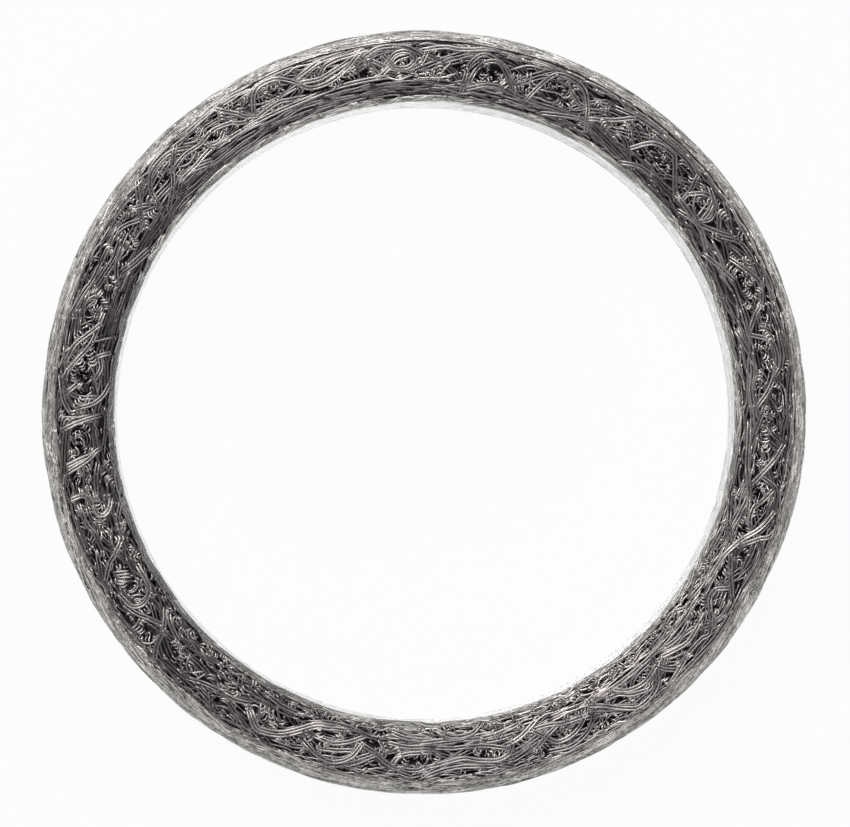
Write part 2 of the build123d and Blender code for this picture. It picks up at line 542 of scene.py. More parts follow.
# Legs of loops that stand in the gaps: short strokes, side by side in combs
for bearing, middle, half_length, half_width in loops_seen:
    for place in (-0.5, 0.1, 0.6):
        centre = np.array(round_the_ring(bearing, middle))
        centre += (place * half_length, random.uniform(-0.3, 0.3) * half_width)
        comb(centre, random.uniform(40, 140), int(random.integers(2, 5)), random.uniform(0.4, 0.8),
             wire_pitch, (0.35, 1.0))
combs_along((0, 360), 0.7, 0, (32.8, 36.4), (10, 170), (1, 4), (0.4, 0.9), wire_pitch, (0.2, 0.9))

# Loops that lie flat in the gaps, one inside the other
for bearing, middle, half_length, half_width in loops_seen:
    shrink = random.uniform(0.75, 0.95)
    tilt = random.uniform(-0.3, 0.3)
    for ring_number in range(int(random.integers(1, 4))):
        size = shrink - 0.30 * ring_number / half_width
        if size * half_width < 0.35:
            break
        start, sweep = random.uniform(0, 6.28), random.uniform(3.6, 5.8)
        route = []
        for a in np.linspace(start, start + sweep, 12):
            u = half_length * size * math.cos(a)
            v = half_width * size * math.sin(a)
            route.append((math.radians(bearing) * face_reference + u, middle + v + tilt * u))
        line = kept_on_face(smooth_line(route))
        face.lay(line, sink=dive(len(line), 0.5, 0.8), tone=random.uniform(0.3, 0.9), node=0.2, stiff=0.3)

# Runs close under the crease fill the face's outer edge
band(face, 35.1, 36.5, 0.2, (4, 14), 0.28, 6.0, (0.2, 0.6), 0.6, stiff=0.4)


# Long strands that arch over one loop and under the next
def weave(side, first, passed, wires, swell, tone):
    """A strand that starts at this loop, passes so many, and goes back down into the pack."""
    stations = []
    for index in range(first - 1, first + passed + 1):
        bearing, middle, half_length, half_width = loops_seen[index % len(loops_seen)]
        swing = side * (-1) ** index * (half_width * swell + random.uniform(0.0, 0.35))
        u, v = round_the_ring(bearing + 360 * (index // len(loops_seen)) + random.uniform(-1.5, 1.5),
                              middle + swing)
        stations.append((u, min(max(v, 32.4), 36.5)))
    route = []
    for (u0, v0), (u1, v1) in zip(stations, stations[1:]):
        route += [(u0, v0), (u0 + (u1 - u0) * 0.25, v0 + (v1 - v0) * 0.10),
                  (u0 + (u1 - u0) * 0.75, v0 + (v1 - v0) * 0.90)]
    line = smooth_line(route)
    for number in range(wires):
        strand_line = beside(line, (number - (wires - 1) / 2) * strand_pitch)
        strand_line[:, 1] += wander(len(line), 0.05, 5.0)
        face.lay(kept_on_face(strand_line), sink=dive(len(line), 0.9, 1.5),
                 tone=tone + random.uniform(-0.1, 0.2), stiff=0.6, node=0.4)


for index in range(len(loops_seen)):
    weave(1 if index % 2 else -1, index, int(random.integers(3, 7)), int(random.integers(1, 4)),
          random.uniform(0.45, 1.15), random.uniform(0.1, 0.5))

# A second lot of legs that come up between the long strands, and a third that lies along them
combs_along((0, 360), 1.6, 0.4, (33.2, 36.3), (15, 165), (2, 5), (0.3, 0.7), 0.33, (0.35, 1.0))
combs_along((0, 360), 0.55, 0.3, (31.5, 36.2), (-30, 30), (1, 4), (0.3, 0.5), wire_pitch, (0.6, 1.3))

# Flattened wires beside the bevel, all round
band(face, face_inner, 32.9, 0.2, (4, 18), 0.26, 7.0, (0.1, 0.45), 0.6, stiff=0.5, radius=0.17, flat=0.4)

# The same strip by bearing, its tones painted as light and shade fall: smooth and painted dark at the upper
# left, paler and shorter towards the right, and brightest and roundest at the bottom, as painted light
band(face, 31.4, 33.0, 0.19, (4, 14), 0.12, 8.0, (-0.15, 0.12), 0.6, arc=(80, 166), stiff=0.6,
     radius=0.18, flat=0.35)
band(face, 31.4, 33.1, 0.21, (2, 8), 0.2, 6.0, (0.1, 0.7), 0.5, arc=(24, 82), stiff=0.6,
     radius=0.17, flat=0.4)
band(face, 31.4, 33.1, 0.21, (2, 8), 0.2, 6.0, (0.3, 1.3), 0.5, arc=(-24, 24), stiff=0.6,
     radius=0.16, flat=0.5)
band(face, 31.3, 32.4, 0.24, (1.5, 6), 0.2, 5.0, (0.6, 1.6), 0.5, arc=(245, 342), stiff=0.5)
band(face, 32.4, 33.2, 0.24, (3, 12), 0.12, 6.0, (1.0, 1.7), 0.5, arc=(292, 340), stiff=0.6)

# Wires under the crease: long ones, short ones over them, and tips at the upper right painted bright as
# highlights
band(face, 35.9, 36.5, 0.22, (3, 11), 0.22, 5.0, (0.0, 0.8), 0.6, stiff=0.5)
band(face, 36.1, 36.5, 0.3, (1.5, 6), 0.2, 5.0, (0.0, 1.2), 0.5, stiff=0.3)
band(face, 36.2, 36.5, 0.18, (1.5, 6), 0.12, 4.0, (0.5, 2.0), 0.5, arc=(-5, 80), stiff=0.3)

# Slanting legs beside the bevel in the lower half
combs_along((190, 345), 1.8, 0.8, (31.2, 32.0), (35, 75), (2, 6), (0.25, 0.5), 0.3, (0.3, 1.0))

# Strands that stand out in the front view: how many wires lie side by side, how
# bright they are, and the bearing and radius of each point
strands_seen = [
    (2, 0.7, [(90, 36.0), (87, 36.3), (84, 36.2), (80, 36.6)]),
    (2, 0.3, [(90, 35.6), (88, 35.0), (86, 34.2), (84.5, 33.4)]),
    (1, 0.9, [(90, 33.2), (87, 33.3), (85, 33.7)]),
    (1, 0.9, [(86, 34.6), (87, 33.9), (87.5, 33.2)]),
    (2, 0.4, [(82, 32.5), (79, 33.1), (76.5, 33.1), (73.5, 32.7), (70, 32.6), (66, 32.8)]),
    (2, 0.5, [(68, 32.0), (65, 32.5), (62, 33.0), (60, 33.0)]),
    (1, 0.5, [(75.5, 35.2), (73.5, 35.9), (71, 36.1)]),
    (1, 0.9, [(69.5, 34.1), (67.5, 34.3), (66, 34.2), (65.2, 34.6), (65.6, 35.1)]),
    (2, 0.8, [(65, 34.9), (63.5, 34.3), (62.5, 34.2)]),
    (2, 0.4, [(60, 33.4), (57, 33.4), (54, 33.6), (52, 32.8), (50.3, 31.9)]),
    (3, 0.3, [(60, 33.0), (57, 32.6), (54, 32.3), (51, 32.0)]),
    (2, 0.8, [(51, 31.8), (49, 32.4), (46.8, 32.6)]),
    (2, 0.7, [(57, 35.8), (54, 36.1), (50, 36.3), (46, 36.5), (42, 36.4)]),
    (2, 0.6, [(50, 35.9), (47, 36.0), (44, 36.1), (41, 35.8)]),
    (2, 0.4, [(40.5, 35.4), (39.7, 34.2), (39.5, 33.4)]),
    (2, 0.6, [(39.2, 34.3), (38, 35.3), (36.5, 35.6), (35, 35.2), (34, 34.3), (34.5, 33.5)]),
    (1, 0.5, [(38.3, 34.2), (37.6, 33.7), (36.5, 33.3), (35.2, 33.4)]),
    (1, 1.0, [(36.8, 35.3), (36.2, 34.4), (35.9, 33.7)]),
    (1, 1.0, [(36.3, 35.4), (35.5, 34.6), (35.1, 33.8)]),
    (1, 1.0, [(35.6, 35.3), (34.9, 34.5), (34.6, 33.8)]),
    (2, 0.8, [(37.5, 32.4), (35.5, 32.8), (33.5, 32.9), (31, 32.5)]),
    (2, 0.4, [(34, 36.2), (31.5, 35.6), (30, 35.2)]),
    (2, 0.4, [(30, 34.6), (28.5, 35.5), (26, 35.9), (23.5, 35.9)]),
    (2, 0.8, [(20.5, 35.8), (18.5, 35.3), (17, 34.6), (15.2, 34.5)]),
    (1, 0.7, [(23.5, 36.6), (21, 36.4), (18, 36.2)]),
    (2, 0.5, [(17, 33.4), (15.5, 33.4), (13.5, 33.2)]),
    (2, 0.8, [(13.5, 32.2), (11.3, 32.6), (9.3, 32.9), (6.5, 32.8), (3.5, 32.5), (0, 32.8)]),
    (2, 0.4, [(15, 36.2), (11, 36.5), (7, 36.6), (3, 36.2), (0, 36.3)]),
    (1, 0.6, [(8, 33.0), (5, 33.4), (2, 33.2)]),
    (2, 0.9, [(179.5, 35.4), (178, 35.9), (175.5, 36.2)]),
    (2, 0.4, [(177.5, 33.0), (177.6, 34.2), (176.8, 35.3), (175, 35.9), (173.5, 35.7)]),
    (2, 0.9, [(176.6, 35.4), (175.8, 34.8), (175, 34.4)]),
    (2, 0.9, [(180, 34.0), (179, 33.7), (178, 33.4)]),
    (2, 0.5, [(179.2, 34.0), (178.5, 32.8), (177, 31.9), (175.5, 31.5)]),
    (1, 0.8, [(175.5, 32.7), (173.5, 33.0), (172, 33.6)]),
    (2, 0.8, [(174, 32.8), (172.5, 32.4), (171, 32.6)]),
    (2, 0.3, [(174, 31.8), (171.5, 32.0), (170, 32.4)]),
    (2, 0.9, [(170.5, 33.0), (170, 32.5), (169.5, 31.9)]),
    (1, 0.5, [(168, 33.5), (167.2, 32.6), (166.7, 32.0)]),
    (2, 0.7, [(172.5, 35.9), (170, 36.1), (168, 36.2)]),
    (2, 0.8, [(170.5, 36.0), (169.5, 35.4), (168.5, 35.2)]),
    (2, 0.5, [(169, 35.2), (167, 35.5), (164.5, 35.7), (161, 35.6)]),
    (1, 0.6, [(165.3, 34.2), (165.3, 34.8), (164, 35.2), (162, 35.3), (160.8, 34.9), (160.2, 34.2),
              (160.8, 33.6)]),
    (1, 0.6, [(164, 33.6), (163, 34.0), (162, 33.8)]),
    (1, 0.8, [(158, 33.9), (157, 34.5), (158.5, 34.8)]),
    (1, 0.7, [(155, 36.2), (153.5, 36.0), (152, 36.3)]),
    (3, 0.3, [(158.5, 34.8), (156, 34.5), (153.5, 34.3), (151.5, 34.5), (150, 34.6)]),
    (1, 0.8, [(157.5, 32.5), (156, 32.5), (154.5, 32.4)]),
    (3, 0.2, [(155, 33.0), (153, 32.4), (150, 31.8)]),
    (2, 0.5, [(150, 35.5), (148, 35.0), (146.5, 34.3), (145.5, 34.0)]),
    (1, 0.5, [(150, 33.4), (147, 33.5), (145.5, 33.9)]),
    (2, 0.7, [(145.5, 35.4), (144, 34.8), (143, 34.2)]),
    (1, 0.5, [(149, 36.2), (146, 36.2), (143.5, 36.0)]),
    (1, 0.7, [(141.5, 34.4), (138, 34.3), (135.5, 34.9)]),
    (2, 0.8, [(141.5, 33.9), (138, 33.8), (136, 34.0)]),
    (1, 0.8, [(141.5, 33.3), (138, 33.5), (136.5, 33.6)]),
    (2, 0.7, [(141, 35.2), (138.5, 35.6), (136, 35.7)]),
    (1, 0.7, [(140.5, 34.8), (137.5, 35.1), (136, 35.3)]),
    (3, 0.3, [(138.5, 32.8), (136.5, 33.4), (134, 33.4), (131, 32.8)]),
    (2, 0.9, [(136, 33.4), (133, 33.4), (130.5, 33.6), (127.5, 33.7), (124, 33.3), (120, 33.1)]),
    (1, 0.5, [(135, 34.4), (133.5, 34.0), (132, 34.2)]),
    (2, 0.8, [(129.5, 34.8), (128.5, 34.0), (127, 33.8), (125.5, 34.3)]),
    (1, 0.7, [(131.5, 35.6), (130, 35.2), (128.5, 35.6)]),
    (2, 0.8, [(130.8, 36.4), (128, 36.5), (125.5, 36.6)]),
    (1, 0.9, [(125.5, 35.2), (125, 35.7), (124.5, 36.2)]),
    (2, 0.6, [(124, 34.6), (122, 33.9), (120, 33.8)]),
    (1, 0.6, [(119, 34.9), (117, 34.5), (114, 34.6), (111.5, 34.9)]),
    (1, 0.6, [(118.5, 34.3), (115.5, 34.3), (112.5, 34.5)]),
    (2, 0.7, [(120, 33.6), (117, 33.9), (115, 34.0), (113.5, 33.8), (110, 33.4)]),
    (2, 0.8, [(110.5, 35.6), (109, 35.9), (107, 36.3), (104, 36.5)]),
    (2, 0.8, [(110.5, 34.9), (108, 34.7), (106.5, 34.8), (103.5, 35.4), (101, 36.0)]),
    (2, 0.9, [(107, 35.2), (106, 35.8), (104, 36.1), (101.5, 36.2), (100, 36.4)]),
    (1, 0.8, [(106.5, 34.3), (104.5, 34.6), (102, 34.9)]),
    (1, 0.4, [(101.3, 35.2), (101.1, 34.2), (101, 33.6)]),
    (2, 0.7, [(99, 36.0), (97.5, 36.4), (95.5, 36.5), (93, 36.3), (91.5, 35.9), (90, 35.3)]),
    (2, 0.9, [(97.5, 34.9), (96, 34.4), (94, 34.1), (92, 34.2), (90.5, 34.7), (90, 35.2)]),
    (1, 1.0, [(95.3, 34.9), (94.5, 35.4), (93, 35.6)]),
    (1, 1.0, [(95, 34.7), (94, 35.1), (92.8, 35.3)]),
    (1, 0.8, [(92.3, 35.6), (92.2, 34.9), (92, 34.4)]),
    (1, 0.9, [(96.5, 33.5), (94.5, 33.1), (92, 33.5), (90, 33.6)]),
    (2, 0.8, [(270, 35.3), (268.5, 35.6), (266.5, 35.5)]),
    (2, 0.8, [(270, 33.8), (267, 34.0), (265.5, 34.4), (264.8, 35.0)]),
    (2, 0.8, [(270, 33.2), (267, 33.3), (264.5, 33.1)]),
    (3, 0.9, [(270, 32.4), (267, 32.3), (265, 32.0)]),
    (1, 0.9, [(262.6, 33.4), (262.2, 33.1), (262, 32.9)]),
    (1, 0.8, [(261.5, 31.3), (260.5, 31.8), (258, 31.8)]),
    (2, 0.6, [(258.5, 34.0), (258, 34.8), (256.5, 35.4), (254.5, 35.6)]),
    (2, 0.8, [(257.5, 34.4), (255.5, 34.7), (253.5, 34.9)]),
    (1, 0.7, [(255.5, 33.6), (253.5, 34.2), (251.5, 33.9), (250.5, 33.6)]),
    (1, 0.6, [(253, 35.0), (251.5, 34.6), (250, 34.2)]),
    (2, 0.5, [(260, 32.6), (257, 32.2), (253, 32.2), (250, 32.8)]),
    (2, 0.9, [(256, 32.5), (253.5, 32.7), (251.5, 32.8)]),
    (2, 0.8, [(250, 35.4), (248.5, 35.6), (246, 35.7)]),
    (1, 0.5, [(247.5, 33.8), (246, 34.3), (244.5, 33.6), (244, 33.2)]),
    (1, 1.0, [(243.6, 33.8), (243.3, 33.5), (243.1, 33.2)]),
    (1, 1.0, [(242.8, 33.8), (242.5, 33.5), (242.3, 33.2)]),
    (1, 1.0, [(241.9, 33.8), (241.7, 33.5), (241.5, 33.2)]),
    (1, 1.0, [(241.1, 33.8), (240.9, 33.5), (240.7, 33.2)]),
    (2, 0.7, [(247, 32.4), (244, 32.4), (241, 32.1)]),
    (2, 0.3, [(243.5, 35.7), (241.5, 35.2), (240, 34.5)]),
    (2, 0.9, [(238.5, 33.8), (236.5, 34.2), (235.2, 34.3)]),
    (2, 0.4, [(235, 36.6), (233.8, 35.9), (232.8, 35.2), (231.5, 35.0)]),
    (2, 0.3, [(234, 35.9), (231, 35.5), (227, 35.6), (223, 35.6), (221, 35.0)]),
    (1, 0.6, [(229.8, 34.4), (229.3, 35.0), (227.5, 35.3), (226, 34.9), (225.5, 34.2), (226, 33.8)]),
    (1, 0.8, [(229, 34.2), (228, 34.8), (226.8, 34.6), (226.3, 34.0)]),
    (1, 1.0, [(228, 34.5), (227.5, 34.4), (227, 34.3)]),
    (1, 0.8, [(225, 34.7), (224.9, 34.3), (225, 33.9)]),
    (1, 0.7, [(219.6, 36.0), (220.3, 35.5), (220.2, 34.9)]),
    (2, 0.9, [(222, 33.2), (220, 32.9), (219, 32.6)]),
    (1, 0.8, [(224, 33.7), (223.2, 33.6), (222.5, 33.7)]),
    (2, 0.6, [(218, 33.8), (216.5, 34.3), (215, 34.9), (213.7, 35.2)]),
    (1, 0.9, [(229, 32.9), (228, 32.6), (227, 32.4)]),
    (1, 0.9, [(235, 31.8), (234, 32.1), (233, 32.2), (231.5, 31.6)]),
    (1, 0.8, [(209.8, 33.7), (209.5, 34.2), (209.2, 34.6)]),
    (1, 0.8, [(209.2, 33.6), (208.8, 34.1), (208.5, 34.6)]),
    (1, 0.8, [(208.6, 33.6), (208.2, 34.2), (207.9, 34.7)]),
    (1, 0.8, [(208, 33.6), (207.6, 34.2), (207.3, 34.7)]),
    (2, 0.4, [(207.5, 36.2), (206, 35.8), (204, 35.5)]),
    (2, 0.4, [(204, 34.7), (202, 34.8), (200, 34.9), (199, 35.2)]),
    (1, 0.9, [(203, 33.7), (202.2, 33.6), (201.5, 33.5)]),
    (1, 0.9, [(200.5, 34.0), (200, 34.0), (199.5, 33.9)]),
    (2, 0.8, [(193.5, 33.5), (191.5, 33.3), (189.8, 33.0)]),
    (1, 0.5, [(193, 34.7), (190.5, 34.4), (189, 34.2)]),
    (3, 0.4, [(190, 36.4), (189, 36.2), (186, 35.9), (183.5, 35.6), (182, 35.2), (181.3, 34.3),
              (181.2, 33.2)]),
    (2, 0.8, [(188.3, 35.3), (187.8, 34.4), (187.4, 33.5), (186.8, 32.8)]),
    (1, 0.9, [(185.4, 34.9), (185.1, 34.7), (184.9, 34.5)]),
    (1, 0.9, [(184.3, 34.9), (184.2, 34.7), (184.1, 34.5)]),
    (1, 0.9, [(183.6, 34.6), (183.8, 34.4), (184, 34.3)]),
    (1, 0.9, [(185.5, 34.1), (185.2, 34.2), (185, 34.3)]),
    (1, 0.8, [(180.8, 35.6), (180.9, 34.6), (180.6, 33.6)]),
    (1, 0.9, [(182, 32.8), (181, 32.7), (180, 32.9)]),
    (1, 0.6, [(189.5, 32.4), (189, 31.9), (188.5, 31.4)]),
    (2, 0.4, [(360, 36.0), (357, 35.6), (354, 35.6)]),
    (2, 0.3, [(358.5, 34.2), (356.5, 34.6), (355.5, 35.4)]),
    (2, 0.3, [(357, 34.0), (355, 34.4), (354, 35.3)]),
    (1, 0.7, [(355, 33.6), (354.3, 34.2), (353, 34.4), (352, 34.6), (351.6, 34.1)]),
    (1, 0.9, [(354, 33.7), (353.2, 33.8), (352.5, 33.9)]),
    (1, 0.8, [(348.1, 34.7), (348, 34.4), (348, 34.0)]),
    (1, 0.8, [(347.4, 34.8), (347.2, 34.4), (347.2, 34.0)]),
    (2, 0.4, [(348.5, 34.9), (347.7, 35.7), (346, 36.0), (344, 36.0)]),
    (2, 0.9, [(346.3, 35.1), (345, 34.6), (344, 34.1), (342, 34.0), (340.5, 34.3)]),
    (2, 0.5, [(360, 33.6), (357, 33.0), (354, 32.6)]),
    (2, 0.7, [(345, 33.2), (342, 32.9), (339, 32.7), (336, 33.0), (334, 33.1)]),
    (2, 0.4, [(344, 31.6), (341, 32.0), (338, 32.6)]),
    (2, 0.8, [(338, 31.7), (336, 31.6), (333, 31.5)]),
    (1, 0.8, [(337, 36.0), (335, 36.1), (333, 36.0)]),
    (1, 0.8, [(337.5, 35.5), (336, 35.5), (334, 35.4)]),
    (1, 0.7, [(337.5, 35.1), (335.5, 35.1), (333.5, 35.2)]),
    (1, 0.8, [(328.8, 34.6), (327.6, 34.8), (326.5, 34.9)]),
    (1, 0.8, [(328.6, 35.0), (327.4, 35.1), (326.3, 35.2)]),
    (1, 0.8, [(325, 34.8), (324.5, 35.5), (323.5, 35.9), (322.5, 35.8)]),
    (1, 0.8, [(324, 34.2), (323, 34.3), (322, 34.3)]),
    (2, 0.9, [(321, 34.2), (319, 33.9), (317, 34.0), (315.5, 33.6)]),
    (2, 0.8, [(323.5, 33.0), (321, 33.5), (319, 33.7), (317, 33.6), (315, 33.3)]),
    (2, 0.7, [(322.5, 32.2), (321, 31.7), (319, 31.8), (317.5, 32.3), (315, 32.4)]),
    (1, 0.7, [(330, 31.5), (328, 31.6), (326, 31.9)]),
    (2, 0.8, [(328, 32.4), (326.5, 32.3), (325.5, 32.2)]),
    (1, 0.8, [(317, 35.1), (316, 34.9), (315, 34.6)]),
    (2, 0.6, [(314, 35.6), (313, 34.9), (312.3, 34.2)]),
    (2, 0.6, [(311, 33.4), (309, 33.5), (307.5, 33.8), (307, 34.2)]),
    (1, 0.8, [(307.5, 33.2), (305.5, 33.6), (303, 33.4), (300, 33.5)]),
    (2, 0.8, [(308, 35.2), (306, 34.7), (304.5, 34.0), (303, 33.8)]),
    (3, 0.3, [(305.5, 36.0), (303, 35.0), (301, 34.3), (300, 34.0)]),
    (2, 0.4, [(330, 36.2), (326, 36.4), (322, 36.5), (318, 36.4), (314, 36.4), (311, 36.6)]),
    (2, 0.4, [(299.5, 34.2), (298, 35.2), (296, 35.9), (293.5, 36.2), (291, 36.0)]),
    (1, 0.7, [(293.5, 35.4), (292.5, 34.8), (292.4, 34.2)]),
    (2, 0.7, [(292.5, 33.9), (290.5, 34.4), (289, 35.0), (287.5, 35.4)]),
    (1, 0.9, [(288, 34.0), (287.7, 33.7), (287.4, 33.4)]),
    (1, 0.9, [(287, 34.4), (286.6, 34.1), (286.3, 33.8)]),
    (1, 0.9, [(286, 34.4), (285.6, 34.1), (285.3, 33.9)]),
    (2, 0.6, [(285, 33.2), (282, 33.3), (279, 33.2), (276, 33.5), (273, 33.4)]),
    (2, 0.8, [(286, 32.4), (282, 32.8), (278, 32.8), (274, 32.6), (270, 32.8)]),
    (1, 0.6, [(279.8, 31.5), (278.8, 32.3), (276.5, 32.7), (274, 32.6), (272.5, 32.0)]),
    (3, 0.3, [(283.5, 35.9), (281, 35.4), (278, 35.0), (275, 34.7), (273, 35.0), (270, 35.9)]),
    (2, 0.7, [(279, 35.6), (276, 35.4), (273, 35.6), (271, 36.0)]),
    (1, 0.9, [(272.5, 34.5), (271.5, 34.9), (270.5, 35.2)]),
    (1, 0.6, [(293, 31.7), (291.5, 32.0), (290, 31.8)]),
    (2, 0.9, [(119.7, 34.3), (118.5, 35.7), (117, 36.3), (114.5, 36.3), (113, 35.9), (111.5, 35.2),
              (110, 34.3), (108, 34.0), (105.5, 34.2), (103, 34.9), (100.5, 36.1)]),
    (2, 0.9, [(100.5, 36.0), (99, 34.9), (98, 34.0)]),
    (2, 0.9, [(102, 33.5), (98, 33.6), (96, 34.3)]),
    (2, 0.8, [(127, 33.4), (120, 33.3), (112, 33.2), (105, 33.4), (97, 33.5)]),
    (2, 0.9, [(325, 32.8), (318, 33.0), (310, 33.1), (300, 33.2)]),
    (2, 0.9, [(146.3, 33.7), (144, 35.0), (142, 36.2)]),
    (2, 0.9, [(142, 33.6), (141, 35), (139, 36), (136, 36.2), (134, 36), (132, 35.3)]),
    (2, 0.8, [(141, 32.6), (138, 33.6), (136, 34.8), (134, 35.8)]),
    (2, 0.7, [(136, 34.7), (133, 34.9), (130, 34.7), (127, 35), (124, 34.6)]),
    (2, 0.8, [(124.3, 36.3), (122.5, 35.2), (121, 34.2), (120, 33.9)]),
    (2, 0.9, [(172.5, 35.3), (170, 34.3), (168, 33.7), (164, 33.4)]),
    (2, 0.9, [(171, 35.8), (169, 35.3), (167, 34.3), (165.5, 33.6)]),
    (2, 0.8, [(163.5, 36.3), (160, 35.8), (158.5, 35.5), (154, 35.4), (150, 35.5)]),
    (2, 0.7, [(157, 33.2), (154.5, 33.9), (152.5, 34.1)]),
    (2, 0.6, [(83.3, 32.7), (82.9, 34.2), (82.5, 35), (80.5, 36), (77, 35.3), (75.5, 34.2), (74, 33)]),
    (2, 0.6, [(82.2, 33.2), (81.4, 34.4), (80, 35.3), (78, 35.5), (76.4, 34.6), (75.2, 33.6)]),
    (2, 0.6, [(71.7, 33), (69.5, 35.5), (67.5, 36.2), (64, 35.9), (62, 34.5), (60.8, 33)]),
    (2, 0.6, [(60, 33.6), (57, 34.6), (55, 35.6)]),
    (2, 0.7, [(51.5, 33.7), (50, 34.9), (48.5, 35.4), (46, 35.6), (45, 35.2), (43, 34), (41, 33)]),
    (2, 0.6, [(37, 35.8), (34, 35.2), (31.5, 34.3)]),
    (2, 0.6, [(40, 33), (35, 33), (32, 34), (30.5, 34.8)]),
    (2, 0.7, [(26, 34.2), (22.5, 35.4), (21, 35.7), (18, 35.2), (16.5, 34.3), (14, 33.3)]),
    (2, 0.9, [(28.5, 32.1), (26, 32.7), (24, 33.2)]),
    (2, 0.7, [(13, 33.7), (12, 34.8), (10.5, 35.4), (8, 35.4), (5, 34.7), (3, 34), (1.5, 33.3)]),
    (2, 0.6, [(12, 36), (9, 36), (7, 35.6), (5.5, 35), (3.5, 35.7), (1, 35.8)]),
    (2, 0.95, [(354, 35.6), (352, 35), (350, 34.2), (348.5, 33.6)]),
    (2, 0.95, [(357.5, 32.3), (352, 32.4), (349, 32.7), (345.5, 33.3), (342, 33.6)]),
    (2, 1.0, [(343, 35.9), (341.5, 35.5), (340, 34.9), (338.5, 34.1), (337, 33.6), (334.5, 33),
              (332, 32.8), (330, 32.8)]),
    (2, 0.8, [(341, 36.7), (340, 36.4), (339.3, 35.6), (338, 34.7)]),
    (2, 0.7, [(339, 35.4), (338, 36.1), (336, 36.4), (332, 36.2)]),
    (2, 0.8, [(334, 33.8), (332, 34.4), (330, 35.2)]),
    (2, 0.8, [(329.5, 34.5), (328.5, 33.8), (327, 33.8), (325.5, 34.4), (324, 35.2), (322, 35.9),
              (321, 35.6), (318, 35.5), (315, 35.9), (312, 36.4)]),
    (2, 0.95, [(322, 34.5), (319, 34.7), (317, 34.4), (315, 34)]),
    (2, 0.8, [(312.8, 33.4), (311.8, 34.6), (310.5, 35.6), (308.5, 36.1), (306, 36.2), (304.5, 35.7),
              (303, 35), (301.5, 34.2), (300, 33.7)]),
    (2, 0.9, [(312, 34.2), (309, 34.6), (306.5, 34.3), (305, 33.7)]),
    (2, 0.8, [(297.5, 34.1), (294, 33.8), (291.5, 33.4), (288.5, 33.3)]),
    (2, 0.7, [(297.5, 34.3), (295, 35.2), (292, 35.3), (290.3, 34.3), (289, 33.6)]),
    (2, 0.95, [(289.3, 32.7), (287.5, 33.3), (285.5, 33.8), (283, 34.1)]),
    (2, 0.7, [(284.8, 34.1), (284, 34.9), (282, 35.3), (279, 35), (276.5, 34.6), (274, 34.8), (271, 35.2)]),
    (2, 0.6, [(283, 34.2), (280.5, 33.7), (278, 33.5), (275.5, 33.5)]),
    (2, 0.7, [(279.5, 31.8), (278.5, 32.2), (276.5, 32.4), (274.5, 32.3), (273, 31.9)]),
    (2, 0.7, [(267, 35.8), (264.5, 35.3), (262, 34.3), (259.5, 33.6)]),
    (2, 0.9, [(259, 34), (258, 35), (256, 35.8), (254, 35.9), (252, 35.5), (250.5, 35)]),
    (3, 1.0, [(253.5, 32.6), (251, 32.9), (249, 33.7), (247, 34.6), (245.5, 35.1), (243.7, 35.4),
              (242, 35.5), (240.5, 34.8)]),
    (2, 0.8, [(258.8, 33), (257, 33.6), (254.5, 34.1), (252, 34)]),
    (2, 0.7, [(240, 35.8), (237.5, 35.2), (235.5, 34.6), (233.5, 34.4), (231, 34.7), (229, 35.2)]),
    (2, 0.7, [(222, 36), (221, 35.2), (220.3, 34.3), (219, 33.2), (218, 32.7)]),
    (2, 1.0, [(212, 35.15), (213.5, 34.9), (214.3, 34.1), (214, 33.3), (213, 32.6), (211.5, 32.3),
              (209, 32.3)]),
    (2, 0.7, [(207, 35.4), (205.5, 34.6), (204.7, 33.8), (203.3, 32.9)]),
    (2, 0.9, [(199.5, 35.1), (198, 35.4), (196, 35.5)]),
    (2, 1.0, [(193.8, 35.6), (193.7, 35.0), (194.3, 34.5), (196, 34.2), (197.5, 33.9), (197.8, 33.3),
              (197, 32.7), (196.3, 32.5)]),
    (2, 0.8, [(189.3, 35.4), (188.5, 34.2), (187.8, 33.5), (187, 32.9)]),
    (2, 0.8, [(182.5, 35.5), (181.8, 34.5), (181, 33)]),
    (2, 0.7, [(201, 32.4), (199, 32.2), (197, 31.6)]),
    (2, 0.8, [(96, 35.0), (94.5, 35.8), (92.5, 35.8), (91.5, 35.1), (92.8, 34.3), (95, 34.4), (96, 35.1)]),
]


def lit_share_by_bearing(bright, bearing):
    """The share of a strand's brightness that painted shade leaves. It is least from the left to the
    bottom, where less light falls.
    """
    if bright > 0.92 or bearing < 140:
        return 0.95
    return 0.7 if bearing < 262 else 0.77


for wires, bright, route in strands_seen:
    line = smooth_line([round_the_ring(*point) for point in route])
    run = min(0.9, 0.4 * len(line) * sample_step)
    line = buried(line, run)
    # Painted shade: strands are painted darker from the left to the bottom, where less light falls.
    shaded_bright = lit_share_by_bearing(bright, route[0][0]) * bright
    for number in range(wires):
        face.lay(
            kept_on_face(beside(line, (number - (wires - 1) / 2) * pair_pitch)),
            sink=dive(len(line), 1.1, 1.8 * run),
            tone=shaded_bright + random.uniform(-0.1, 0.1),
            radius=seen_wire_radius,
            stiff=0.5,
        )

